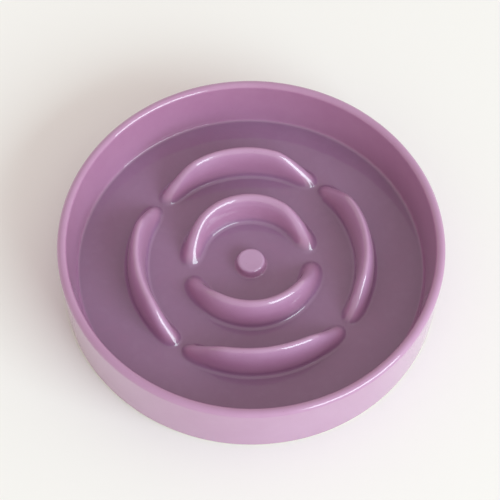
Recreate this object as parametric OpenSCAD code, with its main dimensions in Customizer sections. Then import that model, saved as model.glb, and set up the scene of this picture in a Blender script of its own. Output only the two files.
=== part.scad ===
// Slow feeder bowl of glazed stoneware. A low round wall stands on a thick floor, and the
// floor carries two rings of rounded ridges and a peg that slow down an eating animal.
// The origin is the middle of the foot, on the surface that the bowl stands on, and +Z is up.
// Every contact between two pieces is a flat face.

/* [Bowl] */
// Radius of the rim at its widest
rim_radius = 105; // [95:0.5:130]
// Height of the rim above the surface that the bowl stands on
bowl_height = 39.2; // [36:0.1:60]
// Thickness of the wall at the rim, which is rounded over in full
rim_thickness = 5.5; // [4:0.1:7]
// Lean of the outside of the wall from upright, in degrees
outer_lean = 1.9; // [0:0.1:5]
// Lean of the inside of the wall from upright, in degrees
inner_lean = 9.3; // [2:0.1:12]
// Radius of the hollow where the wall runs into the floor
corner_fillet = 2; // [1.5:0.1:5]

/* [Floor and foot] */
// Thickness of the floor
floor_thickness = 6.9; // [5:0.1:9]
// Height of the foot ring, which is the depth of the hollow under the floor
foot_height = 4.5; // [3:0.1:7]
// Width of the foot ring where it meets the floor
foot_width = 9.8; // [6:0.1:16]
// Lean of the foot ring's inside from upright, in degrees
hollow_lean = 12; // [4:1:20]
// Rounding of the foot's outer edge on the ground
foot_round = 1.5; // [0.5:0.1:2]
// Rounding of the foot's inner edge on the ground
hollow_round = 0.8; // [0.4:0.1:1.2]

/* [Outer ridges] */
// Radius of the circle that the outer ridges lie on
outer_circle = 62.9; // [58:0.1:72]
// Height of the outer ridges above the floor, at mid length
outer_height = 20.3; // [14:0.1:24]
// Half of the outer ridges' thickness at the floor, at mid length
outer_foot = 5.2; // [4.6:0.1:8]
// Half of the outer ridges' thickness at the floor, towards their ends
outer_end = 3.4; // [2:0.1:4.2]
// Gap between the ends of neighbouring outer ridges
outer_gap = 6.4; // [4:0.1:20]

/* [Inner ridges] */
// Radius of the circle that the inner ridges lie on
inner_circle = 33.4; // [26:0.1:40]
// Height of the inner ridges above the floor, at mid length
inner_height = 18.3; // [12:0.1:24]
// Half of the inner ridges' thickness at the floor, at mid length
inner_foot = 5.5; // [4.6:0.1:8]
// Half of the inner ridges' thickness at the floor, towards their ends
inner_end = 3.6; // [2:0.1:4.5]
// Gap between the ends of the two inner ridges
inner_gap = 10.5; // [6:0.1:24]

/* [Centre peg] */
// Height of the peg above the floor
peg_height = 5.5; // [4:0.1:12]
// Radius of the peg where it meets the floor
peg_radius = 8.3; // [6:0.1:12]
// Lean of the peg's side from upright, in degrees
peg_lean = 8; // [2:1:12]
// Rounding of the peg's top edge
peg_round = 1.8; // [1:0.1:2.5]

/* [Ridge shape] */
// How full a ridge's crest line is: a higher number keeps its height closer to the ends
crest_power = 2.6; // [2:0.1:6]
// How blunt a ridge's ends are, seen from above: a higher number is blunter
end_power = 16; // [8:1:24]
// How full a ridge's section is: 2 is an ellipse, and a higher number is boxier
fullness = 2; // [1.8:0.1:3]
// Share of its height that a ridge gives up on its way down to an end
end_drop = 0.45; // [0:0.05:0.6]
// Where along a ridge, from 0 at its middle to 1 at its end, that begins
end_start = 0.5; // [0.4:0.05:0.85]

/* [Hidden] */
$fn = 180;

// Counts: the ridges of each ring, and the steps that draw a rounding or a ridge
outer_count = 4;
inner_count = 2;
arc_steps = 16;
section_steps = 16;
ridge_steps = 32;

// Colours of the glaze: on the bowl, and paler where it runs thin over the ridges and the peg
glaze = [0.71, 0.55, 0.71];
ridge_glaze = [0.78, 0.63, 0.78];

// Heights and the middle of the rim's rounding
floor_top = foot_height + floor_thickness;
rim_round = rim_thickness / 2;
rim_middle = rim_radius - rim_round;
rim_level = bowl_height - rim_round;

// Radii of the wall's two leaning sides at a height, both tangent to the rim's rounding
function outer_at(z) = rim_middle + rim_round / cos(outer_lean) - (rim_level - z) * tan(outer_lean);
function inner_at(z) = rim_middle - rim_round / cos(inner_lean) - (rim_level - z) * tan(inner_lean);

// Radius of the foot ring's inside at a height
function hollow_at(z) = outer_at(foot_height) - foot_width + (foot_height - z) * tan(hollow_lean);

// Points along a rounding about a middle point, from one angle to another
function rounding(middle, radius, from, to) = [
    for (i = [0:arc_steps])
        let (turn = from + (to - from) * i / arc_steps)
            middle + radius * [cos(turn), sin(turn)]
];

// Middle of a rounding that touches a level surface and a side with a lean,
// above the surface and to the inside of the side
function nestled(side_radius, level, radius, lean) =
    [side_radius - radius / cos(lean), level + radius];

// Half of the angle that one ridge spans, from its share of the circle less half a gap
function half_span(count, circle, gap) = 180 / count - asin(gap / (2 * circle));

// Section of a ridge at a place along it from -1 to 1: pairs of a distance off the circle and
// a height, over the top from the outside to the inside
function section(place, height, foot, end) =
    let (
        rise = sqrt(1 - pow(abs(place), crest_power)),
        blunt = sqrt(1 - pow(abs(place), end_power)),
        near_end = max(0, (abs(place) - end_start) / (1 - end_start)),
        top = height * rise * (1 - end_drop * near_end * near_end * (3 - 2 * near_end)),
        half_foot = (end + (foot - end) * rise) * blunt
    )
    [
        for (i = [0:section_steps])
            let (turn = 180 * i / section_steps)
                [
                    half_foot * sign(cos(turn)) * pow(abs(cos(turn)), 2 / fullness),
                    top * pow(sin(turn), 2 / fullness)
                ]
    ];

// A point of a section, set round the circle and on the floor
function on_circle(pair, circle, turn) =
    [(circle + pair[0]) * cos(turn), (circle + pair[0]) * sin(turn), floor_top + pair[1]];

// A ridge about the middle angle: sections swept round the circle between two end points
module ridge(middle, circle, height, foot, end, span) {
    sides = section_steps + 1;
    rings = ridge_steps - 1;
    places = [for (i = [1:rings]) sin(180 * i / ridge_steps - 90)];
    ends = [for (way = [-1, 1]) on_circle([0, 0], circle, middle + way * span)];
    rows = [
        for (place = places)
            for (pair = section(place, height, foot, end))
                on_circle(pair, circle, middle + place * span)
    ];
    first_end = rings * sides;
    last_end = first_end + 1;
    last_row = (rings - 1) * sides;
    skin = [
        for (row = [0:rings - 2])
            for (side = [0:sides - 1])
                let (
                    near = row * sides + side,
                    near_next = row * sides + (side + 1) % sides
                )
                    for (half = [0, 1])
                        half == 0
                            ? [near, near_next, near_next + sides]
                            : [near, near_next + sides, near + sides]
    ];
    caps = [
        for (side = [0:sides - 1])
            let (next = (side + 1) % sides)
                for (way = [0, 1])
                    way == 0
                        ? [first_end, next, side]
                        : [last_end, last_row + side, last_row + next]
    ];
    polyhedron(points = concat(rows, ends), faces = concat(skin, caps), convexity = 4);
}

module outer_ridge(number) {
    color(ridge_glaze)
        ridge(
            360 * number / outer_count, outer_circle, outer_height, outer_foot, outer_end,
            half_span(outer_count, outer_circle, outer_gap)
        );
}

module inner_ridge(number) {
    color(ridge_glaze)
        ridge(
            90 + 360 * number / inner_count, inner_circle, inner_height, inner_foot, inner_end,
            half_span(inner_count, inner_circle, inner_gap)
        );
}

// The floor: a flat disc that carries the ridges, out to the wall's outside
module floor_disc() {
    color(glaze)
        rotate_extrude()
            polygon([
                [0, foot_height],
                [outer_at(foot_height), foot_height],
                [outer_at(floor_top), floor_top],
                [0, floor_top]
            ]);
}

// The wall: leaning sides, a fully rounded rim and a hollow corner at the floor
module side_wall() {
    corner_middle = nestled(
        inner_at(floor_top + corner_fillet), floor_top, corner_fillet, inner_lean
    );
    color(glaze)
        rotate_extrude()
            polygon(concat(
                [[outer_at(floor_top), floor_top]],
                rounding([rim_middle, rim_level], rim_round, -outer_lean, 180 - inner_lean),
                rounding(corner_middle, corner_fillet, -inner_lean, -90)
            ));
}

// The foot ring that the bowl stands on, with both ground edges rounded
module foot_ring() {
    edge_middle = nestled(outer_at(foot_round), 0, foot_round, outer_lean);
    hollow_middle = [
        hollow_at(hollow_round) + hollow_round / cos(hollow_lean),
        hollow_round
    ];
    color(glaze)
        rotate_extrude()
            polygon(concat(
                [[outer_at(foot_height), foot_height], [hollow_at(foot_height), foot_height]],
                rounding(hollow_middle, hollow_round, 180 + hollow_lean, 270),
                rounding(edge_middle, foot_round, -90, -outer_lean)
            ));
}

// The peg: a low round stub with a flat top and a rounded edge
module centre_peg() {
    peg_top = floor_top + peg_height;
    edge_level = peg_top - peg_round;
    edge_middle = [
        peg_radius - (edge_level - floor_top) * tan(peg_lean) - peg_round / cos(peg_lean),
        edge_level
    ];
    color(ridge_glaze)
        rotate_extrude()
            polygon(concat(
                [[0, floor_top], [peg_radius, floor_top]],
                rounding(edge_middle, peg_round, peg_lean, 90),
                [[0, peg_top]]
            ));
}

module outer_ridge_right() { outer_ridge(0); }
module outer_ridge_back() { outer_ridge(1); }
module outer_ridge_left() { outer_ridge(2); }
module outer_ridge_front() { outer_ridge(3); }
module inner_ridge_back() { inner_ridge(0); }
module inner_ridge_front() { inner_ridge(1); }

floor_disc();
side_wall();
foot_ring();
outer_ridge_right();
outer_ridge_back();
outer_ridge_left();
outer_ridge_front();
inner_ridge_back();
inner_ridge_front();
centre_peg();
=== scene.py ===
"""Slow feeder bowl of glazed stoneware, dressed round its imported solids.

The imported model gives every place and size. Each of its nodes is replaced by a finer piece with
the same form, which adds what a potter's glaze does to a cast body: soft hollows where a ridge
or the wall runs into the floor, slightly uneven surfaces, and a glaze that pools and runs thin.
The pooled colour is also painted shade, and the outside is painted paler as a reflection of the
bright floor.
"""

import logging
import math
from dataclasses import asdict, dataclass, field
from enum import Enum
from typing import Callable, Optional, Sequence, Union

import bmesh
import bpy
from mathutils import Matrix, Vector, noise


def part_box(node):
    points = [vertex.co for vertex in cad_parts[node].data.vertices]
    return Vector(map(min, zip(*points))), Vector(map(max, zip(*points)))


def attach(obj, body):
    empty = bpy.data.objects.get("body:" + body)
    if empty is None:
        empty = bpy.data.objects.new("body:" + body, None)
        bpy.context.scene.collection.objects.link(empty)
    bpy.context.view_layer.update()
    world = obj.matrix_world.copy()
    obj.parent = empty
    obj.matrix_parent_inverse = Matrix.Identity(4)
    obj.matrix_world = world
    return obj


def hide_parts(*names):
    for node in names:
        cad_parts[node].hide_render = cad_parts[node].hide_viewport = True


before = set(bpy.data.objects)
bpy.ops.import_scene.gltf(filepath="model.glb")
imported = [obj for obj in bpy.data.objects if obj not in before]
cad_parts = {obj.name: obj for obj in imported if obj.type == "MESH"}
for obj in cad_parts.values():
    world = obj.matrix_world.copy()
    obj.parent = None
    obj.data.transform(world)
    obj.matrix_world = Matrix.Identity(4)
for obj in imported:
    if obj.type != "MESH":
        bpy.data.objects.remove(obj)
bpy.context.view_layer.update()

LOG = logging.getLogger("bowl")

MM = 0.001
BODY = "root"

Number = Union[int, float]
Value = Union[Number, Sequence[float], "Wire"]
Colour = tuple[float, float, float]


class Slot(Enum):
    """The record's material slots."""

    GLAZE = "glaze"
    RIDGE = "ridge_glaze"
    FOOT = "foot_glaze"


class Sheen(Enum):
    """Names of the values that a mesh carries for its glaze, each from 0 to 1."""

    # Paler glaze: thin glaze over edges, and a painted reflection of the bright floor on the
    # outside.
    THIN = "thin"
    # Darker glaze: pooled glaze, and painted shade on the floor and in hollows.
    POOL = "pool"


def smooth(share: float) -> float:
    """Ease a share from 0 to 1 in and out.

    Args:
        share: Any number, held between 0 and 1.

    Returns:
        The eased share.
    """
    held = min(max(share, 0.0), 1.0)
    return held * held * (3 - 2 * held)


def placed(name: str, data: bpy.types.ID) -> bpy.types.Object:
    """Return a new object of a mesh, a lamp or a camera, linked to the scene."""
    made = bpy.data.objects.new(name, data)
    bpy.context.scene.collection.objects.link(made)
    return made


def heading(turn: float, rise: float) -> Vector:
    """Return the direction towards a place round the bowl.

    Args:
        turn: Its angle round from +X, in degrees.
        rise: Its angle above the ground, in degrees.

    Returns:
        The direction, one long.
    """
    turn = math.radians(turn)
    rise = math.radians(rise)
    return Vector((
        math.cos(turn) * math.cos(rise), math.sin(turn) * math.cos(rise), math.sin(rise),
    ))


def operator(operation: str, reflected: bool = False) -> Callable[["Wire", Value], "Wire"]:
    """Return a method that adds one Math node to a wire's graph.

    Args:
        operation: The node's operation.
        reflected: Whether the wire stands on the right.

    Returns:
        The method, which takes the other value.
    """

    def method(self: "Wire", other: Value) -> "Wire":
        """Return the operation's result."""
        first, second = (other, self) if reflected else (self, other)
        return self.graph.math(operation, first, second)

    return method


class Wire:
    """One output of a node, on which arithmetic and comparisons add Math nodes."""

    __add__ = operator("ADD")
    __radd__ = operator("ADD", reflected=True)
    __sub__ = operator("SUBTRACT")
    __rsub__ = operator("SUBTRACT", reflected=True)
    __mul__ = operator("MULTIPLY")
    __rmul__ = operator("MULTIPLY", reflected=True)
    __truediv__ = operator("DIVIDE")
    __rtruediv__ = operator("DIVIDE", reflected=True)
    __pow__ = operator("POWER")
    __gt__ = operator("GREATER_THAN")
    __lt__ = operator("LESS_THAN")

    def __init__(self, graph: "Graph", socket: bpy.types.NodeSocket) -> None:
        """Wrap a socket.

        Args:
            graph: The graph that the socket's node stands in.
            socket: The output socket.
        """
        self.graph = graph
        self.socket = socket

    def held(self, low: Number = 0.0, high: Number = 1.0) -> "Wire":
        """Return the value held between two numbers."""
        return self.graph.math("MINIMUM", self.graph.math("MAXIMUM", self, low), high)

    def eased(self) -> "Wire":
        """Return the value held between 0 and 1 and eased in and out."""
        held = self.held()
        return held * held * (3 - 2 * held)


class Graph:
    """A node tree, for a material, the world or a geometry tree."""

    def __init__(self, tree: bpy.types.NodeTree) -> None:
        """Start from an empty tree.

        Args:
            tree: The tree, whose nodes are cleared.
        """
        self.tree = tree
        self.tree.nodes.clear()

    def node(
        self,
        kind: str,
        settings: Optional[dict[str, object]] = None,
        inputs: Optional[dict[Union[int, str], object]] = None,
        output: Union[int, str] = 0,
    ) -> Wire:
        """Add a node: its settings first, then the values and links of its sockets.

        Args:
            kind: The node's type.
            settings: Its properties, or the names of what it captures under "captured".
            inputs: Values or wires by the socket's name or number.
            output: The name or number of the output to return.

        Returns:
            That output, or the first input for a node without outputs.
        """
        made = self.tree.nodes.new(kind)
        for name, setting in (settings or {}).items():
            if name == "captured":
                for label in setting:
                    made.capture_items.new("FLOAT", label)
            else:
                setattr(made, name, setting)
        for name, given in (inputs or {}).items():
            target = made.inputs[name]
            if isinstance(given, Wire):
                self.tree.links.new(given.socket, target)
            else:
                target.default_value = given
        if not made.outputs:
            return Wire(self, made.inputs[0])
        return Wire(self, made.outputs[output])

    def beside(self, wire: Wire, output: Union[int, str]) -> Wire:
        """Return another output of the node that a wire comes from."""
        return Wire(self, wire.socket.node.outputs[output])

    def math(self, operation: str, first: Value, second: Value = 0.0) -> Wire:
        """Return one Math node's result."""
        return self.node("ShaderNodeMath", {"operation": operation}, {0: first, 1: second})

    def vector(self, operation: str, first: Value, second: Value) -> Wire:
        """Return one Vector Math node's vector."""
        return self.node("ShaderNodeVectorMath", {"operation": operation}, {0: first, 1: second})

    def scaled(self, vector: Value, factor: Value) -> Wire:
        """Return a vector times a number."""
        return self.node(
            "ShaderNodeVectorMath", {"operation": "SCALE"}, {"Vector": vector, "Scale": factor}
        )

    def length(self, vector: Value) -> Wire:
        """Return a vector's length."""
        return self.node(
            "ShaderNodeVectorMath", {"operation": "LENGTH"}, {0: vector}, output="Value"
        )

    def parts(self, vector: Wire) -> tuple[Wire, Wire, Wire]:
        """Return a vector's three parts."""
        first = self.node("ShaderNodeSeparateXYZ", inputs={0: vector})
        return first, self.beside(first, 1), self.beside(first, 2)

    def joined(self, x: Value, y: Value, z: Value) -> Wire:
        """Return the vector with three parts."""
        return self.node("ShaderNodeCombineXYZ", inputs={0: x, 1: y, 2: z})

    def value(self, sheen: Sheen) -> Wire:
        """Return a value that the mesh carries for its glaze."""
        return self.node("ShaderNodeAttribute", {"attribute_name": sheen.value}, output="Fac")

    def bump(self, strength: float, depth: float, relief: Wire) -> Wire:
        """Return a normal that a relief bends.

        Args:
            strength: How strongly the relief shows.
            depth: Its depth.
            relief: The relief, from 0 to about 1.

        Returns:
            The normal.
        """
        return self.node(
            "ShaderNodeBump", inputs={"Strength": strength, "Distance": depth, "Height": relief}
        )

    def colours(self, factor: Value, first: Value, second: Value) -> Wire:
        """Mix two colours.

        Args:
            factor: The share of the second.
            first: The colour at 0, as three numbers or a wire.
            second: The colour at 1, as three numbers or a wire.

        Returns:
            The mixed colour.
        """
        ends = [c if isinstance(c, Wire) else (*c, 1.0) for c in (first, second)]
        made = self.node(
            "ShaderNodeMix", {"data_type": "RGBA"}, {0: factor, 6: ends[0], 7: ends[1]}
        )
        return self.beside(made, 2)


@dataclass(frozen=True)
class Handwork:
    """Slight unevenness of a cast and glazed body, one field of shifts for every piece.

    Attributes:
        depth: Largest shift of the broad swells, about.
        spread: Distance over which they change.
        fine_depth: Largest shift of the smaller swells, about.
        fine_spread: Distance over which these change.
        level_zone: Height over which the shift dies out above the ground.
        seed: What the swells are drawn from, so that they are the same in each run.
    """

    depth: float = 0.09 * MM
    spread: float = 26 * MM
    fine_depth: float = 0.018 * MM
    fine_spread: float = 7 * MM
    level_zone: float = 4 * MM
    seed: int = 3

    def shifted(self, place: Vector) -> Vector:
        """Return where a point of the ideal form lies on the real one.

        Args:
            place: The point, in metres.

        Returns:
            The shifted point, which never goes below the ground.
        """
        broad = noise.noise_vector(place / self.spread) * self.depth
        fine = noise.noise_vector(place / self.fine_spread) * self.fine_depth
        shift = broad + fine
        shift.z *= smooth(place.z / self.level_zone)
        return place + shift

    def apply(self, mesh: bpy.types.Mesh) -> None:
        """Shift every vertex of a mesh.

        Args:
            mesh: The mesh, which changes in place.
        """
        noise.seed_set(self.seed)
        for vertex in mesh.vertices:
            vertex.co = self.shifted(vertex.co)
        mesh.update()


@dataclass(frozen=True)
class Station:
    """One ring of a turned form.

    Attributes:
        radius: Its distance from the middle axis.
        height: Its height.
        thin: How pale the glaze is there, from 0 to 1: thin glaze, and on the outside a painted
            reflection.
        pool: How dark the glaze is there, from 0 to 1: pooled glaze together with painted shade.
        crisp: Whether the form has an edge there that shading keeps.
    """

    radius: float
    height: float
    thin: float = 0.0
    pool: float = 0.0
    crisp: bool = False


def arc(middle: tuple[float, float], radius: float, start: float, end: float,
        steps: int) -> list[tuple[float, float]]:
    """Return points along a rounding.

    Args:
        middle: Radius and height of its middle.
        radius: Its own radius.
        start: First angle, in degrees from straight out.
        end: Last angle.
        steps: Number of steps between them.

    Returns:
        Pairs of a radius and a height.
    """
    turns = [math.radians(start + (end - start) * i / steps) for i in range(steps + 1)]
    return [
        (middle[0] + radius * math.cos(turn), middle[1] + radius * math.sin(turn))
        for turn in turns
    ]


def between(first: tuple[float, float], last: tuple[float, float],
            steps: int) -> list[tuple[float, float]]:
    """Return the points that part a straight line, without its two ends."""
    return [
        (
            first[0] + (last[0] - first[0]) * i / steps,
            first[1] + (last[1] - first[1]) * i / steps,
        )
        for i in range(1, steps)
    ]


def rings(pairs: Sequence[tuple[float, float]], thin: float = 0.0) -> list[Station]:
    """Return the rings at pairs of a radius and a height, each with the same thin value, which on
    the outside is a painted reflection.
    """
    return [Station(*pair, thin=thin) for pair in pairs]


def hollow_rings(pairs: Sequence[tuple[float, float]], lift: float,
                 pool: float = 1.0) -> list[Station]:
    """Return the rings of a hollow that runs out on a level surface.

    Args:
        pairs: Pairs of a radius and a height, which end on the surface.
        lift: How far the last ring is lifted off it.
        pool: How much the glaze pools on the last ring, drawn darker also as painted shade.

    Returns:
        The rings in the same order.
    """
    rows = []
    for i, (radius, height) in enumerate(pairs):
        share = i / (len(pairs) - 1)
        rows.append(Station(radius, height + lift * share, pool=pool * smooth(share)))
    return rows


@dataclass(frozen=True)
class Turning:
    """Turns a closed outline round the middle axis.

    Attributes:
        steps: Number of steps round the axis.
        handwork: The unevenness that the finished mesh gets.
    """

    steps: int = 360
    handwork: Handwork = Handwork()

    def make(self, name: str, outline: Sequence[Station]) -> bpy.types.Object:
        """Build a turned piece.

        Args:
            name: Its name.
            outline: Its rings in order. The outline closes on itself, or on the axis where
                its first and last radius are nothing.

        Returns:
            The piece, at the origin.
        """
        form = bmesh.new()
        # Values for the glaze on each vertex: one pales it for thin glaze and a painted
        # reflection, the other darkens it for pooled glaze and painted shade.
        thin = form.verts.layers.float.new(Sheen.THIN.value)
        pool = form.verts.layers.float.new(Sheen.POOL.value)
        made = []
        for station in outline:
            count = self.steps if station.radius > 0 else 1
            ring = []
            for i in range(count):
                turn = 2 * math.pi * i / count
                vertex = form.verts.new((
                    station.radius * math.cos(turn),
                    station.radius * math.sin(turn),
                    station.height,
                ))
                vertex[thin] = station.thin
                vertex[pool] = station.pool
                ring.append(vertex)
            made.append(ring)
        pairs = list(zip(made, made[1:]))
        if len(made[0]) > 1:
            pairs.append((made[-1], made[0]))
        for first, second in pairs:
            self._bridge(form, first, second)
        bmesh.ops.recalc_face_normals(form, faces=form.faces)
        for station, ring in zip(outline, made):
            if station.crisp:
                for i, vertex in enumerate(ring):
                    edge = form.edges.get((vertex, ring[(i + 1) % len(ring)]))
                    edge.smooth = False
        for face in form.faces:
            face.smooth = True
        mesh = bpy.data.meshes.new(name)
        form.to_mesh(mesh)
        form.free()
        self.handwork.apply(mesh)
        return placed(name, mesh)

    def _bridge(self, form: bmesh.types.BMesh, first: Sequence[bmesh.types.BMVert],
                second: Sequence[bmesh.types.BMVert]) -> None:
        """Fill the space between two rings, of which one may be a single point.

        Args:
            form: The form that gets the faces.
            first: One ring's vertices in order.
            second: The other's.
        """
        for i in range(self.steps):
            after = (i + 1) % self.steps
            corners = []
            for vertex in (
                first[i % len(first)], first[after % len(first)],
                second[after % len(second)], second[i % len(second)],
            ):
                if vertex not in corners:
                    corners.append(vertex)
            form.faces.new(corners)


@dataclass(frozen=True)
class Pattern:
    """Patterns that a finish takes from a piece's own coordinates.

    Attributes:
        SPECK_BLUR: Width of a speck's soft edge, as a share of its radius.
        graph: The finish's graph.
        place: Object coordinates.
    """

    SPECK_BLUR = 0.4
    graph: Graph
    place: Wire

    def noise(self, spread: float, detail: float) -> Wire:
        """Return a noise from 0 to 1.

        Args:
            spread: The width of its cells.
            detail: Its number of finer layers.

        Returns:
            The noise.
        """
        return self.graph.node(
            "ShaderNodeTexNoise",
            inputs={"Vector": self.place, "Scale": 1 / spread, "Detail": detail},
        )

    def specks(self, spread: float, size: float) -> Wire:
        """Return 1 on small scattered specks and 0 elsewhere.

        Args:
            spread: Distance between specks, about.
            size: A speck's radius as a share of that distance.

        Returns:
            The specks.
        """
        away = self.graph.node(
            "ShaderNodeTexVoronoi",
            {"feature": "F1"},
            {"Vector": self.place, "Scale": 1 / spread, "Randomness": 1.0},
            output="Distance",
        )
        return ((size - away) / (self.SPECK_BLUR * size)).held()


@dataclass(frozen=True)
class Clay:
    """The bare body: dry, slightly sandy clay.

    Attributes:
        colour: Its colour.
        shade: How dark the sand's hollows are, as a share of it.
        grit: Colour of the grit in it.
        grit_share: How strongly the grit shows.
        grit_spread: Distance between grains of grit, about.
        grit_size: A grain's radius as a share of that distance.
        grit_dip: How far grit lies below the sand, as a share of its depth.
        sand_spread: Distance over which the sand changes.
        sand_depth: Its depth.
        sand_strength: How strongly it shows as relief.
        roughness: Its roughness.
    """

    colour: Colour = (0.620, 0.540, 0.450)
    shade: float = 0.88
    grit: Colour = (0.30, 0.22, 0.15)
    grit_share: float = 0.5
    grit_spread: float = 1.1 * MM
    grit_size: float = 0.16
    grit_dip: float = 0.3
    sand_spread: float = 0.45 * MM
    sand_depth: float = 0.06 * MM
    sand_strength: float = 0.5
    roughness: float = 0.85

    def shader(self, pattern: Pattern) -> Wire:
        """Build the clay's shader.

        Args:
            pattern: The patterns of the finish that it belongs to.

        Returns:
            The shader.
        """
        graph = pattern.graph
        sand = pattern.noise(self.sand_spread, detail=3.0)
        grit = pattern.specks(self.grit_spread, self.grit_size)
        dark = tuple(self.shade * part for part in self.colour)
        colour = graph.colours(sand, dark, self.colour)
        colour = graph.colours(grit * self.grit_share, colour, self.grit)
        relief = sand - self.grit_dip * grit
        bump = graph.bump(self.sand_strength, self.sand_depth, relief)
        return graph.node(
            "ShaderNodeBsdfPrincipled",
            inputs={"Base Color": colour, "Roughness": self.roughness, "Normal": bump},
        )


@dataclass(frozen=True)
class Glaze:
    """A glossy stoneware glaze over a pale body, bare where the bowl stands on the ground.

    Drift, cloud and grain are its broad, middle and fine unevenness, which run from 0 to 1.

    Attributes:
        name: The material's name.
        body: Colour of the glaze at its usual depth.
        thin: Colour where it runs thin over an edge, also painted on the outside as a reflection.
        pool: Colour where it pools, which also stands as painted shade on the floor and in
            hollows.
        speck: Colour of the few specks of iron in it.
        pale: Colour that it leans to where it is lightest.
        deep: Colour that it leans to where it is darkest.
        lean_share: How far it leans to them.
        drift_spread: Distance over which it drifts.
        cloud_spread: Distance over which it clouds.
        grain_spread: Distance over which its grain changes.
        drift_share: How much the drift lightens and darkens it.
        cloud_share: How much the clouds do.
        grain_share: How much the grain does.
        thin_and_sheen_least: Share of the thin value, thin glaze and painted reflection, shown at
            least drift.
        thin_and_sheen_drift: How much more shows where it drifts most.
        thin_and_sheen_cloud: How much the clouds change where the paler colour shows.
        pool_and_shade_least: Share of the pool value, pooled glaze and painted shade, shown at
            least cloud.
        pool_and_shade_cloud: How much more shows where it clouds most.
        speck_spread: Distance between specks, about.
        speck_size: A speck's radius as a share of that distance.
        speck_share: How strongly the specks show.
        wave_depth: Depth of the waves in its surface.
        wave_strength: How strongly they show as relief.
        wave_cloud: How much the clouds raise them.
        wave_grain: How much the grain does.
        wave_speck: How far the specks dip.
        bare_line: Height of the glaze line on the foot.
        line_drift: How far the line rises and falls with the drift.
        line_cloud: How far it does with the clouds.
        line_blur: Height over which the glaze gives way to the bare body.
        base_gloss: Roughness of the glaze's body.
        gloss_cloud: How much the clouds change it.
        gloss_pool: How much rougher it is where it pools.
        base_ior: Refractive index of its body.
        base_shine: How strongly its body shines.
        coat_gloss: Roughness of its surface.
        coat_ior: Refractive index of its surface.
        clay: The bare body.
    """

    name: str
    body: Colour = (0.408, 0.178, 0.328)
    # The thin colour is also the paler colour painted on the outside as a reflection of the
    # floor.
    thin: Colour = (0.462, 0.264, 0.448)
    # The pool colour is also painted shade on the floor and in hollows.
    pool: Colour = (0.240, 0.107, 0.226)
    speck: Colour = (0.250, 0.110, 0.190)
    pale: Colour = (0.80, 0.66, 0.80)
    deep: Colour = (0.12, 0.03, 0.12)
    lean_share: float = 0.10
    drift_spread: float = 31 * MM
    cloud_spread: float = 6.5 * MM
    grain_spread: float = 0.7 * MM
    drift_share: float = 0.55
    cloud_share: float = 0.35
    grain_share: float = 0.10
    thin_and_sheen_least: float = 0.72
    thin_and_sheen_drift: float = 0.5
    thin_and_sheen_cloud: float = 0.10
    pool_and_shade_least: float = 0.80
    pool_and_shade_cloud: float = 0.4
    speck_spread: float = 2.6 * MM
    speck_size: float = 0.085
    speck_share: float = 0.55
    wave_depth: float = 0.05 * MM
    wave_strength: float = 0.35
    wave_cloud: float = 0.75
    wave_grain: float = 0.12
    wave_speck: float = 0.25
    bare_line: float = 0.9 * MM
    line_drift: float = 0.5 * MM
    line_cloud: float = 0.35 * MM
    line_blur: float = 0.12 * MM
    base_gloss: float = 0.32
    gloss_cloud: float = 0.10
    gloss_pool: float = 0.10
    base_ior: float = 1.5
    base_shine: float = 0.22
    coat_gloss: float = 0.035
    coat_ior: float = 1.6
    clay: Clay = Clay()

    def make(self) -> bpy.types.Material:
        """Build the material.

        Returns:
            The material, whose patterns read Object coordinates and the mesh's own values.
        """
        material = bpy.data.materials.new(self.name)
        material.use_nodes = True
        graph = Graph(material.node_tree)
        place = graph.node("ShaderNodeTexCoord", output="Object")
        pattern = Pattern(graph, place)
        drift = pattern.noise(self.drift_spread, detail=3.0)
        cloud = pattern.noise(self.cloud_spread, detail=4.0)
        glazed = self._glazed(pattern, drift, cloud)
        bare = self.clay.shader(pattern)
        height = graph.parts(place)[2]
        line = self.bare_line + self.line_drift * (drift - 0.5) + self.line_cloud * (cloud - 0.5)
        on_ground = ((line - height) / self.line_blur + 0.5).held()
        mixed = graph.node("ShaderNodeMixShader", inputs={0: on_ground, 1: glazed, 2: bare})
        graph.node("ShaderNodeOutputMaterial", inputs={"Surface": mixed})
        return material

    def _glazed(self, pattern: Pattern, drift: Wire, cloud: Wire) -> Wire:
        """Build the glaze's own shader.

        Args:
            pattern: The material's patterns.
            drift: Its broad unevenness.
            cloud: Its middle unevenness.

        Returns:
            The shader.
        """
        graph = pattern.graph
        grain = pattern.noise(self.grain_spread, detail=2.0)
        specks = pattern.specks(self.speck_spread, self.speck_size)
        # Paler where the thin value is high: thin glaze over edges, and a painted reflection of
        # the bright floor on the outside.
        thin_and_sheen_share = self.thin_and_sheen_least + self.thin_and_sheen_drift * drift
        thin_and_sheen_mask = graph.value(Sheen.THIN) * thin_and_sheen_share + self.thin_and_sheen_cloud * (cloud - 0.5)
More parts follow.
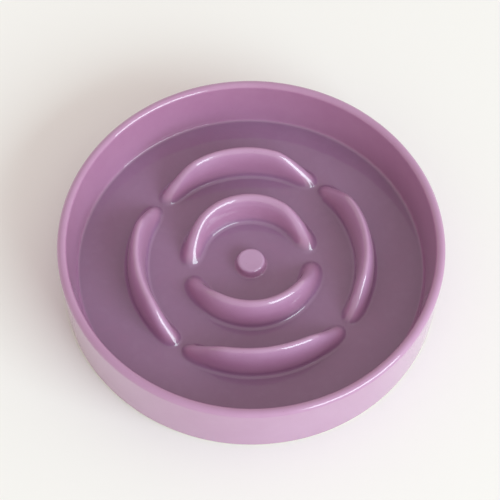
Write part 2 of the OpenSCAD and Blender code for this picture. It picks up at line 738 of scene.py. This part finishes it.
        # Darker where the pool value is high: pooled glaze, and painted shade on the floor and in
        # hollows.
        pool_and_shade_share = self.pool_and_shade_least + self.pool_and_shade_cloud * cloud
        pool_and_shade_mask = (graph.value(Sheen.POOL) * pool_and_shade_share).held()
        depth = (
            0.5 + self.drift_share * (drift - 0.5) + self.cloud_share * (cloud - 0.5)
            + self.grain_share * (grain - 0.5)
        )
        colour = graph.colours(pool_and_shade_mask, self.body, self.pool)
        colour = graph.colours(thin_and_sheen_mask.held(), colour, self.thin)
        lighter = graph.colours(self.lean_share, colour, self.pale)
        darker = graph.colours(self.lean_share, colour, self.deep)
        colour = graph.colours(depth.held(), darker, lighter)
        colour = graph.colours(specks * self.speck_share, colour, self.speck)
        relief = self.wave_cloud * cloud + self.wave_grain * grain - self.wave_speck * specks
        gloss = self.base_gloss + self.gloss_cloud * (cloud - 0.5) + self.gloss_pool * pool_and_shade_mask
        return graph.node(
            "ShaderNodeBsdfPrincipled",
            inputs={
                "Base Color": colour,
                "Roughness": gloss.held(),
                "IOR": self.base_ior,
                "Specular IOR Level": self.base_shine,
                "Coat Weight": 1.0,
                "Coat Roughness": self.coat_gloss,
                "Coat IOR": self.coat_ior,
                "Normal": graph.bump(self.wave_strength, self.wave_depth, relief),
            },
        )


@dataclass
class Shell:
    """The floor, the wall with its rounded rim and the foot ring, each a turned piece.

    Each STEPS value is the number of steps that draws one stretch of an outline.

    Attributes:
        rim_thickness: Thickness of the wall at the rim.
        outer_lean: Lean of the wall's outside, in degrees.
        inner_lean: Lean of its inside.
        corner_hollow: Radius of the hollow where it meets the floor.
        foot_width: Width of the foot ring where it meets the floor.
        hollow_lean: Lean of the foot ring's inside.
        foot_round: Rounding of the foot's outer edge.
        hollow_round: Rounding of its inner edge.
        under_hollow: Radius of the hollow between the foot ring and the underside.
        outside_painted_sheen: Share of the paler colour painted on the outside as a reflection, 0
            to 1.
        rim_thin: How much thinner it runs over the rim.
        under_pool_and_shade: How much it pools in the hollow under the floor, also painted shade
            there.
        skin: How far the outside lies within the solids, for the unevenness.
        skirt: Width of the level strip that ends a hollow.
        lift: How far that strip lies above the floor.
        turning: What turns the outlines.
        pieces: The pieces, once they are built.
    """

    DISC_STEPS = 70
    SLAB_STEPS = 5
    SIDE_STEPS = 20
    RIM_STEPS = 44
    INSIDE_STEPS = 22
    CORNER_STEPS = 24
    FOOT_STEPS = 6
    EDGE_STEPS = 14
    GROUND_STEPS = 10
    UNDER_STEPS = 5
    rim_thickness: float = 5.5 * MM
    outer_lean: float = 1.9
    inner_lean: float = 9.3
    corner_hollow: float = 2.0 * MM
    foot_width: float = 9.8 * MM
    hollow_lean: float = 12.0
    foot_round: float = 1.5 * MM
    hollow_round: float = 0.8 * MM
    under_hollow: float = 1.6 * MM
    # Paler colour painted on the outside as a reflection of the bright floor.
    outside_painted_sheen: float = 0.42
    rim_thin: float = 0.3
    # Pooled glaze and painted shade in the hollow under the floor.
    under_pool_and_shade: float = 0.6
    skin: float = 0.14 * MM
    skirt: float = 0.6 * MM
    lift: float = 0.02 * MM
    turning: Turning = Turning()
    pieces: list[bpy.types.Object] = field(default_factory=list)

    def __post_init__(self) -> None:
        """Take the levels and the rim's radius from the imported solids."""
        low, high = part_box("side_wall")
        floor_low, floor_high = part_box("floor_disc")
        self.floor_top = floor_high.z
        self.underside = floor_low.z
        self.rim_round = self.rim_thickness / 2
        self.rim_middle = (high.x - low.x) / 2 - self.rim_round
        self.rim_level = high.z - self.rim_round

    def side_at(self, height: float, way: int, lean: float) -> float:
        """Return the radius at a height of a side that runs into the rim's rounding.

        Args:
            height: The height.
            way: 1 for the outside and -1 for the inside.
            lean: The side's lean, in degrees.

        Returns:
            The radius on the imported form.
        """
        lean = math.radians(lean)
        side = self.rim_middle + way * self.rim_round / math.cos(lean)
        return side - (self.rim_level - height) * math.tan(lean)

    def outer_at(self, height: float) -> float:
        """Return the radius of the outside at a height."""
        return self.side_at(height, 1, self.outer_lean) - self.skin

    def inner_at(self, height: float) -> float:
        """Return the radius of the inside of the wall at a height."""
        return self.side_at(height, -1, self.inner_lean)

    def hollow_at(self, height: float) -> float:
        """Return the radius of the foot ring's inside at a height."""
        side = self.outer_at(self.underside) + self.skin - self.foot_width
        return side + (self.underside - height) * math.tan(math.radians(self.hollow_lean))

    def build(self) -> None:
        """Build the three pieces."""
        self.pieces = [self._floor(), self._wall(), self._foot()]

    def dress(self, finishes: dict[Slot, bpy.types.Material]) -> None:
        """Give each piece the glaze of its slot and its body, and hide the node that it replaces.

        Args:
            finishes: The glaze of each slot.
        """
        nodes = (
            ("floor_disc", Slot.GLAZE), ("side_wall", Slot.GLAZE), ("foot_ring", Slot.FOOT),
        )
        for piece, (node, slot) in zip(self.pieces, nodes):
            piece.data.materials.append(finishes[slot])
            settle(piece, node)

    def _floor(self) -> bpy.types.Object:
        """Build the floor: a level disc, out to the bowl's outside.

        Returns:
            The piece.
        """
        top = self.outer_at(self.floor_top)
        bottom = self.outer_at(self.underside)
        steps = self.DISC_STEPS
        # The floor's top takes the full pooled colour: pooled glaze and painted shade.
        rows = [Station(0, self.floor_top, pool=1)]
        rows += [Station(top * i / steps, self.floor_top, pool=1) for i in range(1, steps)]
        outside = between((top, self.floor_top), (bottom, self.underside), self.SLAB_STEPS)
        # Its outside is painted paler as a reflection of the bright floor.
        rows.append(Station(top, self.floor_top, thin=self.outside_painted_sheen, crisp=True))
        rows += rings(outside, self.outside_painted_sheen)
        rows.append(Station(bottom, self.underside, thin=self.outside_painted_sheen, crisp=True))
        rows += [Station(bottom * i / steps, self.underside) for i in range(steps - 1, 0, -1)]
        rows.append(Station(0, self.underside))
        return self.turning.make("floor", rows)

    def _wall(self) -> bpy.types.Object:
        """Build the wall: leaning sides, a rounded rim and a hollow corner at the floor.

        Returns:
            The piece.
        """
        lean = math.radians(self.inner_lean)
        radius = self.rim_round - self.skin
        rim = arc((self.rim_middle, self.rim_level), radius, -self.outer_lean,
                  180 - self.inner_lean, self.RIM_STEPS)
        corner_level = self.floor_top + self.corner_hollow
        corner_middle = (
            self.inner_at(corner_level) + self.skin - self.corner_hollow / math.cos(lean),
            corner_level,
        )
        corner = arc(corner_middle, self.corner_hollow, -self.inner_lean, -90,
                     self.CORNER_STEPS)
        outside = (self.outer_at(self.floor_top), self.floor_top)
        # The outside is painted paler as a reflection of the bright floor, giving way over the
        # rim to thin glaze.
        rows = [Station(*outside, thin=self.outside_painted_sheen, crisp=True)]
        rows += rings(between(outside, rim[0], self.SIDE_STEPS), self.outside_painted_sheen)
        for i, pair in enumerate(rim):
            across = i / (len(rim) - 1)
            over = self.rim_thin * math.sin(math.pi * across)
            rows.append(Station(*pair, thin=self.outside_painted_sheen * (1 - across) + over))
        rows += rings(between(rim[-1], corner[0], self.INSIDE_STEPS))
        # The corner hollow and the strip take the pooled colour: pooled glaze and painted shade.
        rows += hollow_rings(corner, self.lift)
        edge = corner[-1][0] - self.skirt
        rows.append(Station(edge, self.floor_top + self.lift, pool=1, crisp=True))
        rows.append(Station(edge, self.floor_top, pool=1, crisp=True))
        return self.turning.make("wall_and_rim", rows)

    def _foot(self) -> bpy.types.Object:
        """Build the foot ring, with rounded edges and a hollow up to the underside.

        Returns:
            The piece.
        """
        edge_lean = math.radians(self.outer_lean)
        edge_middle = (
            self.outer_at(self.foot_round) - self.foot_round / math.cos(edge_lean),
            self.foot_round,
        )
        hollow_lean = math.radians(self.hollow_lean)
        hollow_middle = (
            self.hollow_at(self.hollow_round) + self.hollow_round / math.cos(hollow_lean),
            self.hollow_round,
        )
        outside = (self.outer_at(self.underside), self.underside)
        edge = arc(edge_middle, self.foot_round, -self.outer_lean, -90, self.EDGE_STEPS)
        inner = arc(hollow_middle, self.hollow_round, 270, 180 + self.hollow_lean,
                    self.GROUND_STEPS)
        level = self.underside - self.under_hollow
        under_middle = (
            self.hollow_at(level) - self.under_hollow / math.cos(hollow_lean), level,
        )
        under = arc(under_middle, self.under_hollow, self.hollow_lean, 90, self.EDGE_STEPS)
        # The foot's outside is painted paler as a reflection of the bright floor.
        rows = [Station(*outside, thin=self.outside_painted_sheen, crisp=True)]
        rows += rings(between(outside, edge[0], self.FOOT_STEPS) + edge, self.outside_painted_sheen)
        rows += rings(between(edge[-1], inner[0], self.GROUND_STEPS) + inner)
        rows += rings(between(inner[-1], under[0], self.UNDER_STEPS))
        # The hollow under the floor takes some of the pooled colour: pooled glaze and painted
        # shade.
        rows += hollow_rings(under, -self.lift, self.under_pool_and_shade)
        strip = under[-1][0] - self.skirt
        rows.append(Station(strip, self.underside - self.lift, crisp=True))
        rows.append(Station(strip, self.underside, crisp=True))
        return self.turning.make("foot", rows)


@dataclass
class Peg:
    """The low round peg in the middle of the floor.

    Each STEPS value is the number of steps that draws one stretch of its outline.

    Attributes:
        THIN_RATE: How fast the glaze thins over its top edge.
        lean: Lean of its side, in degrees.
        edge_round: Rounding of its top edge.
        foot_hollow: Radius of the hollow where it meets the floor.
        skirt: Width of the level strip that ends the hollow.
        lift: How far that strip lies above the floor.
        turning: What turns the outline.
        pieces: The peg, once it is built.
    """

    EDGE_STEPS = 20
    SIDE_STEPS = 4
    HOLLOW_STEPS = 16
    TOP_STEPS = 16
    THIN_RATE = 1.6
    lean: float = 8.0
    edge_round: float = 1.8 * MM
    foot_hollow: float = 1.5 * MM
    skirt: float = 0.5 * MM
    lift: float = 0.03 * MM
    turning: Turning = Turning(steps=160)
    pieces: list[bpy.types.Object] = field(default_factory=list)

    def build(self) -> None:
        """Build the peg from the outside of its hollow to the middle of its top."""
        low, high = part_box("centre_peg")
        radius = (high.x - low.x) / 2
        lean = math.radians(self.lean)

        def side_at(height: float) -> float:
            """Return the radius of the side at a height."""
            return radius - (height - low.z) * math.tan(lean)

        level = high.z - self.edge_round
        top = arc((side_at(level) - self.edge_round / math.cos(lean), level),
                  self.edge_round, self.lean, 90, self.EDGE_STEPS)
        foot_level = low.z + self.foot_hollow
        foot = arc((side_at(foot_level) + self.foot_hollow / math.cos(lean), foot_level),
                   self.foot_hollow, 180 + self.lean, 270, self.HOLLOW_STEPS)
        outer = foot[-1][0] + self.skirt
        # The strip and the foot hollow take the pooled colour: pooled glaze and painted shade.
        rows = [
            Station(0, low.z),
            Station(outer, low.z, pool=1, crisp=True),
            Station(outer, low.z + self.lift, pool=1, crisp=True),
        ]
        rows += reversed(hollow_rings(foot, self.lift))
        rows += rings(between(foot[0], top[0], self.SIDE_STEPS))
        for i, pair in enumerate(top):
            rows.append(Station(*pair, thin=smooth(self.THIN_RATE * i / (len(top) - 1))))
        rows += [
            Station(top[-1][0] * i / self.TOP_STEPS, high.z, thin=1)
            for i in range(self.TOP_STEPS - 1, 0, -1)
        ]
        rows.append(Station(0, high.z, thin=1))
        self.pieces = [self.turning.make("peg", rows)]

    def dress(self, finishes: dict[Slot, bpy.types.Material]) -> None:
        """Give the peg the glaze of its slot and its body, and hide the node that it replaces.

        Args:
            finishes: The glaze of each slot.
        """
        self.pieces[0].data.materials.append(finishes[Slot.RIDGE])
        settle(self.pieces[0], "centre_peg")


@dataclass(frozen=True)
class RidgeForm:
    """Sizes of one ridge.

    Attributes:
        circle: Radius of the circle that it lies on.
        foot: Half of its thickness at the floor, at mid length.
        end_foot: Half of its thickness towards its ends.
        gap: Gap between its ends and its neighbours'.
        count: Number of ridges on the circle.
        end_hollow: Reach of the hollow over the floor at its ends.
        end_rise: Height of the hollow at its ends.
        side_hollow: Radius of the hollow along its sides.
        skirt: Width of the level strip that ends the hollow.
        lift: How far that strip lies above the floor.
        crest_power: How full its crest line is.
        end_power: How blunt its ends are, seen from above.
        end_drop: Share of its height that the crest gives up on its way to an end.
        end_start: Where along it that begins.
        fullness: How full its section is: 2 is an ellipse, and more is boxier.
    """

    circle: float
    foot: float
    end_foot: float
    gap: float
    count: int
    end_hollow: float
    end_rise: float = 5.5 * MM
    side_hollow: float = 2.0 * MM
    skirt: float = 0.35 * MM
    lift: float = 0.03 * MM
    crest_power: float = 2.6
    end_power: float = 16.0
    end_drop: float = 0.45
    end_start: float = 0.5
    fullness: float = 2.0

    def half_span(self) -> float:
        """Return half of the angle that it spans."""
        return math.pi / self.count - math.asin(self.gap / (2 * self.circle))


@dataclass(frozen=True)
class Sweep:
    """A bare ridge, with what its points keep of their place on it.

    Attributes:
        ridge: Its geometry.
        column: Steps down from the middle of the crest.
        near_end: How near an end a point lies, from 0 to 1.
        at_tip: 1 at the two ends, and 0 elsewhere.
        height: Height above the floor.
    """

    ridge: Wire
    column: Wire
    near_end: Wire
    at_tip: Wire
    height: Wire


class RidgeTree:
    """The geometry tree that sweeps a ridge round its circle.

    A flat grid becomes the ridge. Its X runs along it, with rows that crowd towards the ends.
    Its Y runs across it, from the middle of the crest down both flanks to the floor, and then
    in three columns to the strip's edge, back under it and to the middle of the underside.

    Attributes:
        SIZES: Names of its inputs.
        ROWS: Points along a ridge.
        COLUMNS: Steps from the middle of the crest down to the floor.
        HALF_GRID: Steps from there on to the middle of the underside.
        CROWDING: How strongly the rows crowd towards the ends, from 0 to 1.
        SINK: How far each column under the floor's level drops, as a share of the height.
        TIP: Place along the ridge, from 0 to 1, from which a row counts as its tip.
        MERGE: Distance at which points become one.
        LEAST_LEVEL: Level part of a normal from which a point moves outward in full.
        CREST_THIN: How thin the glaze runs on a crest, from 0 to 1.
        THIN_TO: Column down to which it runs thin.
        THIN_FADE: Columns over which it thins.
        THIN_HEIGHT: Height from which a crest is as thin as that.
        POOL_AND_SHADE_HEIGHT: Height up to which the glaze pools, also painted darker as shade.
        SHARP_EDGE: Angle in degrees from which shading keeps an edge.
        tree: The node tree.
        graph: What its nodes are added with.
        sockets: Its inputs' identifiers by name.
        size: Its inputs by name.
    """

    SIZES = (
        "circle", "height", "foot", "end_foot", "middle", "half_span", "floor",
        "crest_power", "end_power", "end_drop", "end_start", "fullness", "side_hollow",
        "end_hollow", "end_rise", "skirt", "lift",
    )
    ROWS = 145
    COLUMNS = 40
    HALF_GRID = COLUMNS + 3
    CROWDING = 0.88
    SINK = 0.02
    TIP = 0.9999999
    MERGE = 1e-8
    LEAST_LEVEL = 0.6
    CREST_THIN = 0.6
    THIN_TO = 0.75 * COLUMNS
    THIN_FADE = 0.6 * COLUMNS
    THIN_HEIGHT = 7 * MM
    # Pooled glaze and painted shade reach up to this height.
    POOL_AND_SHADE_HEIGHT = 4.5 * MM
    SHARP_EDGE = 60.0

    def __init__(self, finish: bpy.types.Material) -> None:
        """Build the tree.

        Args:
            finish: The material that the ridges get.
        """
        self.tree = bpy.data.node_groups.new("ridge", "GeometryNodeTree")
        self.graph = Graph(self.tree)
        self.sockets: dict[str, str] = {}
        for name in self.SIZES:
            socket = self.tree.interface.new_socket(
                name=name, in_out="INPUT", socket_type="NodeSocketFloat"
            )
            self.sockets[name] = socket.identifier
        self.tree.interface.new_socket(
            name="Ridge", in_out="OUTPUT", socket_type="NodeSocketGeometry"
        )
        first = self.graph.node("NodeGroupInput")
        self.size = {name: self.graph.beside(first, name) for name in self.SIZES}
        swept = self._sweep()
        glazed = self._glaze(swept, self._hollow(swept))
        self._finish(glazed, finish)

    def _sweep(self) -> Sweep:
        """Sweep half an ellipse round the circle.

        Returns:
            The bare ridge, without the hollow along its foot.
        """
        graph = self.graph
        size = self.size
        grid = graph.node(
            "GeometryNodeMeshGrid",
            inputs={
                "Size X": 2.0,
                "Size Y": 2.0,
                "Vertices X": self.ROWS,
                "Vertices Y": 2 * self.HALF_GRID + 1,
            },
        )
        along, across, _ = graph.parts(graph.node("GeometryNodeInputPosition"))
        column = graph.math("ABSOLUTE", across) * self.HALF_GRID
        quarter = math.pi / 2
        crowded = graph.math("SINE", along * quarter)
        place = graph.math(
            "SINE", (along * (1 - self.CROWDING) + crowded * self.CROWDING) * quarter
        )
        distance = graph.math("MINIMUM", graph.math("ABSOLUTE", place), 1.0)
        rise = graph.math("SQRT", 1 - distance ** size["crest_power"])
        blunt = graph.math("SQRT", 1 - distance ** size["end_power"])
        near_end = ((distance - size["end_start"]) / (1 - size["end_start"])).eased()
        top = size["height"] * rise * (1 - size["end_drop"] * near_end)
        half_foot = (size["end_foot"] + (size["foot"] - size["end_foot"]) * rise) * blunt

        turn = quarter * (1 - (column / self.COLUMNS).held())
        section_power = 2 / size["fullness"]
        beyond = (column - self.COLUMNS).held(0.0, 2.0)
        height = top * graph.math("SINE", turn) ** section_power - self.SINK * top * beyond
        aside = graph.math("MAXIMUM", graph.math("COSINE", turn), 0.0)
        offset = half_foot * aside ** section_power
        not_middle = column < (self.HALF_GRID - 0.5)
        side = graph.math("SIGN", across) * -1.0
        radius = size["circle"] + side * offset * not_middle
        angle = size["middle"] + place * size["half_span"]
        spot = graph.joined(
            radius * graph.math("COSINE", angle),
            radius * graph.math("SINE", angle),
            size["floor"] + height,
        )
        kept = graph.node(
            "GeometryNodeCaptureAttribute",
            {"captured": ("Column", "Near end", "Tip", "Height")},
            {
                "Geometry": grid, "Column": column, "Near end": near_end,
                "Tip": distance > self.TIP, "Height": height,
            },
        )
        hard = graph.node("GeometryNodeSetPosition", inputs={"Geometry": kept, "Position": spot})
        closed = graph.node(
            "GeometryNodeMergeByDistance", inputs={"Geometry": hard, "Distance": self.MERGE}
        )
        return Sweep(
            closed, graph.beside(kept, "Column"), graph.beside(kept, "Near end"),
            graph.beside(kept, "Tip"), graph.beside(kept, "Height"),
        )

    def _hollow(self, swept: Sweep) -> Wire:
        """Add the hollow along the ridge's foot and the level strip that ends it.

        Args:
            swept: The bare ridge.

        Returns:
            Its geometry, with the low points moved outward and the strip laid on the floor.
        """
        graph = self.graph
        size = self.size
        column = swept.column
        normal_x, normal_y, _ = graph.parts(graph.node("GeometryNodeInputNormal"))
        level = graph.joined(normal_x, normal_y, 0.0)
        least = graph.math("MAXIMUM", graph.length(level), self.LEAST_LEVEL)
        outward = graph.scaled(level, 1 / least)
        grown = swept.near_end
        hollow = size["side_hollow"] + (size["end_hollow"] - size["side_hollow"]) * grown
        hollow_rise = size["side_hollow"] + (size["end_rise"] - size["side_hollow"]) * grown
        low = (1 - swept.height / hollow_rise).held()
        spread = hollow * (1 - graph.math("SQRT", 1 - low * low))
        strip = graph.math("MAXIMUM", column > (self.COLUMNS + 0.5), swept.at_tip)
        spread = (spread + size["skirt"] * strip) * (column < (self.HALF_GRID - 0.5))
        position = graph.node("GeometryNodeInputPosition")
        moved_x, moved_y, _ = graph.parts(
            graph.vector("ADD", position, graph.scaled(outward, spread))
        )
        under = graph.math("MAXIMUM", column > (self.COLUMNS + 1.5), swept.at_tip)
        above = size["lift"] + graph.math("MAXIMUM", swept.height, 0.0)
        return graph.node(
            "GeometryNodeSetPosition",
            inputs={
                "Geometry": swept.ridge,
                "Position": graph.joined(moved_x, moved_y, size["floor"] + above * (1 - under)),
            },
        )

    def _glaze(self, swept: Sweep, ridge: Wire) -> Wire:
        """Store how thin the glaze runs on the crest, and how it pools below with painted shade.

        Args:
            swept: The bare ridge, for its points' places.
            ridge: The geometry that gets the values.

        Returns:
            The geometry with both values.
        """
        thin = ((self.THIN_TO - swept.column) / self.THIN_FADE).eased()
        thin = self.CREST_THIN * thin * (swept.height / self.THIN_HEIGHT).held()
        # Darker near the floor: pooled glaze and painted shade.
        pool = (1 - swept.height / self.POOL_AND_SHADE_HEIGHT).eased()
        return self._store(self._store(ridge, Sheen.THIN, thin), Sheen.POOL, pool)

    def _finish(self, ridge: Wire, finish: bpy.types.Material) -> None:
        """Shade the ridge smooth, give it its material and put it out.

        Args:
            ridge: The ridge's geometry.
            finish: The material.
        """
        graph = self.graph
        soft = graph.node("GeometryNodeSetShadeSmooth", inputs={"Geometry": ridge})
        real = graph.node("GeometryNodeRealizeInstances", inputs={"Geometry": soft})
        finished = graph.node(
            "GeometryNodeSetMaterial", inputs={"Geometry": real, "Material": finish}
        )
        graph.node("NodeGroupOutput", inputs={"Ridge": finished})

    def _store(self, geometry: Wire, sheen: Sheen, value: Wire) -> Wire:
        """Store a value for the glaze on the mesh."""
        return self.graph.node(
            "GeometryNodeStoreNamedAttribute",
            {"data_type": "FLOAT", "domain": "POINT"},
            {"Geometry": geometry, "Name": sheen.value, "Value": value},
        )

    def grow(self, name: str, sizes: dict[str, float], handwork: Handwork) -> bpy.types.Object:
        """Make one ridge as a plain mesh.

        Args:
            name: The piece's name.
            sizes: Sizes by name, with all of the tree's inputs among them.
            handwork: The unevenness that the mesh gets.

        Returns:
            The piece, at the origin and without modifiers.
        """
        carrier = placed(name + "_rule", bpy.data.meshes.new(name + "_rule"))
        modifier = carrier.modifiers.new("ridge", "NODES")
        modifier.node_group = self.tree
        for label, identifier in self.sockets.items():
            modifier[identifier] = sizes[label]
        graph = bpy.context.evaluated_depsgraph_get()
        mesh = bpy.data.meshes.new_from_object(carrier.evaluated_get(graph))
        carrier.modifiers.remove(modifier)
        bpy.data.objects.remove(carrier)
        mesh.name = name
        mesh.set_sharp_from_angle(angle=math.radians(self.SHARP_EDGE))
        handwork.apply(mesh)
        return placed(name, mesh)


@dataclass
class RidgeRing:
    """The ridges that stand on one circle.

    Attributes:
        form: The ridges' sizes.
        nodes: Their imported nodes, each with the angle of its middle in degrees.
        handwork: The ridges' unevenness.
        pieces: The ridges, once they are built.
    """

    form: RidgeForm
    nodes: tuple[tuple[str, float], ...]
    handwork: Handwork = Handwork()
    pieces: list[bpy.types.Object] = field(default_factory=list)

    def build(self, tree: RidgeTree) -> None:
        """Grow the ridges.

        Args:
            tree: The geometry tree that they share.
        """
        for node, middle in self.nodes:
            low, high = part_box(node)
            sizes = {
                **asdict(self.form),
                "height": high.z - low.z,
                "middle": math.radians(middle),
                "half_span": self.form.half_span(),
                "floor": low.z,
            }
            self.pieces.append(tree.grow(node.replace("ridge", "curl"), sizes, self.handwork))

    def dress(self) -> None:
        """Put each ridge in its body and hide the node that it replaces; the tree has set its
        glaze.
        """
        for piece, (node, _) in zip(self.pieces, self.nodes):
            settle(piece, node)


def settle(piece: bpy.types.Object, node: str) -> None:
    """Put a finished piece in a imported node's stead.

    Args:
        piece: The piece.
        node: The node that it replaces.
    """
    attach(piece, BODY)
    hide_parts(node)


@dataclass(frozen=True)
class Lamp:
    """A soft rectangular lamp, given by where it shines from and how large it looks.

    Attributes:
        name: Its name.
        turn: Where it shines from, in degrees round from +X.
        rise: How high it stands above the ground, in degrees.
        wide: How wide it looks from the bowl, in degrees.
        tall: How tall it looks.
        power: Light that it throws on a surface facing it, as a share of white.
        colour: Its colour.
        distance: Its distance from the bowl.
    """

    name: str
    turn: float
    rise: float
    wide: float
    tall: float
    power: float
    colour: Colour = (1.0, 1.0, 1.0)
    distance: float = 5.0

    def hang(self) -> None:
        """Add the lamp to the scene."""
        light = bpy.data.lights.new(self.name, "AREA")
        light.shape = "RECTANGLE"
        light.size = 2 * self.distance * math.tan(math.radians(self.wide / 2))
        light.size_y = 2 * self.distance * math.tan(math.radians(self.tall / 2))
        light.energy = self.power * (math.pi * self.distance) ** 2
        light.color = self.colour
        lamp = placed(self.name, light)
        toward = heading(self.turn, self.rise)
        lamp.location = toward * self.distance
        lamp.rotation_euler = toward.to_track_quat("Z", "Y").to_euler()


@dataclass(frozen=True)
class Studio:
    """A plain pale floor under soft light.

    Attributes:
        lamps: The lamps.
        low: Colour of the room's light near the ground, on its bright side.
        high: Colour of its light from above.
        level: Height at which the second takes over, as the sine of its angle.
        bright_turn: Where its bright side lies, in degrees round from +X.
        dim: Share of the light that comes from the side across.
        dim_to: Place across the room, from -1 to 1, up to which it is that dim.
        dim_fade: Width of the change to the bright side.
        ground: Colour of the floor.
        reach: Half of the floor's width.
    """

    lamps: tuple[Lamp, ...]
    low: Colour = (1.24, 1.17, 1.105)
    high: Colour = (0.92, 0.845, 0.80)
    level: float = 0.65
    bright_turn: float = -45.0
    dim: float = 0.74
    dim_to: float = -0.5
    dim_fade: float = 1.2
    ground: Colour = (0.875, 0.868, 0.858)
    reach: float = 6.0

    def build(self) -> None:
        """Add the floor, the lamps and the world."""
        self._floor()
        for lamp in self.lamps:
            lamp.hang()
        self._world()
        bpy.context.scene.view_settings.view_transform = "Standard"

    def _floor(self) -> None:
        """Lay the floor."""
        form = bmesh.new()
        corners = [(-1, -1), (1, -1), (1, 1), (-1, 1)]
        form.faces.new([form.verts.new((x * self.reach, y * self.reach, 0)) for x, y in corners])
        mesh = bpy.data.meshes.new("studio_floor")
        form.to_mesh(mesh)
        form.free()
        material = bpy.data.materials.new("studio_floor")
        material.use_nodes = True
        graph = Graph(material.node_tree)
        matt = graph.node("ShaderNodeBsdfDiffuse", inputs={"Color": (*self.ground, 1.0)})
        graph.node("ShaderNodeOutputMaterial", inputs={"Surface": matt})
        mesh.materials.append(material)
        floor = placed("studio_floor", mesh)

    def _world(self) -> None:
        """Stand a pale backdrop all round, under softer light from above."""
        world = bpy.data.worlds.new("studio")
        bpy.context.scene.world = world
        world.use_nodes = True
        graph = Graph(world.node_tree)
        toward = graph.node("ShaderNodeTexCoord", output="Generated")
        x, y, height = graph.parts(toward)
        turn = math.radians(self.bright_turn)
        across = x * math.cos(turn) + y * math.sin(turn)
        side = ((across - self.dim_to) / self.dim_fade).eased()
        colour = graph.colours((height / self.level).eased(), self.low, self.high)
        power = self.dim + (1 - self.dim) * side
        light = graph.node("ShaderNodeBackground", inputs={"Color": colour, "Strength": power})
        graph.node("ShaderNodeOutputWorld", inputs={"Surface": light})


@dataclass(frozen=True)
class Viewpoint:
    """The photograph's camera.

    Attributes:
        distance: Its distance from the middle of the foot.
        rise: How high it looks down from, in degrees.
        turn: Where it stands, in degrees round from -Y.
        roll: Its turn about its own axis.
        nearest: Nearest distance that it sees.
        lens: Focal length in millimetres.
        sensor: Width of its sensor in millimetres.
        pixels: Width of the picture in pixels.
        foot_x: Where the middle of the foot shows, in pixels from the left.
        foot_y: And from the top.
    """

    distance: float = 1111.6 * MM
    rise: float = 60.83
    turn: float = -9.5
    roll: float = 1.29
    nearest: float = 50 * MM
    lens: float = 144.0
    sensor: float = 36.0
    pixels: float = 500.0
    foot_x: float = 250.6
    foot_y: float = 274.7

    def place(self) -> None:
        """Add the camera, turned so that the foot's middle shows at its pixel."""
        back = heading(self.turn - 90, self.rise)
        right = heading(self.turn, 0)
        above = back.cross(right)
        roll = math.radians(self.roll)
        rolled = right * math.cos(roll) + above * math.sin(roll)
        risen = above * math.cos(roll) - right * math.sin(roll)
        focal = self.lens / self.sensor * self.pixels
        aside = (self.foot_x - self.pixels / 2) / focal
        below = (self.foot_y - self.pixels / 2) / focal
        view_back = (back + rolled * aside - risen * below).normalized()
        view_right = (rolled - view_back * rolled.dot(view_back)).normalized()
        view_up = view_back.cross(view_right)
        lens = bpy.data.cameras.new("camera")
        lens.lens = self.lens
        lens.sensor_width = self.sensor
        lens.clip_start = self.nearest
        camera = placed("camera", lens)
        turned = Matrix((view_right, view_up, view_back)).transposed().to_4x4()
        turned.translation = back * self.distance
        camera.matrix_world = turned
        bpy.context.scene.camera = camera


OUTER = RidgeForm(
    circle=62.9 * MM, foot=5.2 * MM, end_foot=3.4 * MM, gap=6.4 * MM, count=4,
    end_hollow=2.8 * MM,
)
INNER = RidgeForm(
    circle=33.4 * MM, foot=5.5 * MM, end_foot=3.6 * MM, gap=10.5 * MM, count=2,
    end_hollow=3.6 * MM,
)


def report(part: str, pieces: Sequence[bpy.types.Object]) -> None:
    """Log what was built.

    Args:
        part: The sub-assembly.
        pieces: Its pieces.
    """
    for piece in pieces:
        LOG.info("%s: %s, %d faces", part, piece.name, len(piece.data.polygons))


def main() -> None:
    """Build and dress the bowl, then light it."""
    logging.basicConfig(level=logging.INFO, format="%(name)s: %(message)s")
    finishes = {
        Slot.GLAZE: Glaze("lilac_glaze").make(),
        Slot.RIDGE: Glaze("lilac_glaze_on_ridges").make(),
        Slot.FOOT: Glaze("lilac_glaze_on_foot").make(),
    }
    Viewpoint().place()
    Studio(lamps=(
        Lamp("key", turn=-49.0, rise=27.0, wide=43.0, tall=24.0, power=0.78,
             colour=(0.80, 1.0, 1.03)),
    )).build()

    shell = Shell()
    shell.build()
    shell.dress(finishes)
    report("shell", shell.pieces)

    tree = RidgeTree(finishes[Slot.RIDGE])
    outer = RidgeRing(OUTER, (
        ("outer_ridge_right", 0.0), ("outer_ridge_back", 90.0),
        ("outer_ridge_left", 180.0), ("outer_ridge_front", 270.0),
    ))
    outer.build(tree)
    outer.dress()
    report("outer ridges", outer.pieces)

    inner = RidgeRing(INNER, (("inner_ridge_back", 90.0), ("inner_ridge_front", 270.0)))
    inner.build(tree)
    inner.dress()
    report("inner ridges", inner.pieces)

    peg = Peg()
    peg.build()
    peg.dress(finishes)
    report("peg", peg.pieces)


if __name__ == "__main__":
    main()
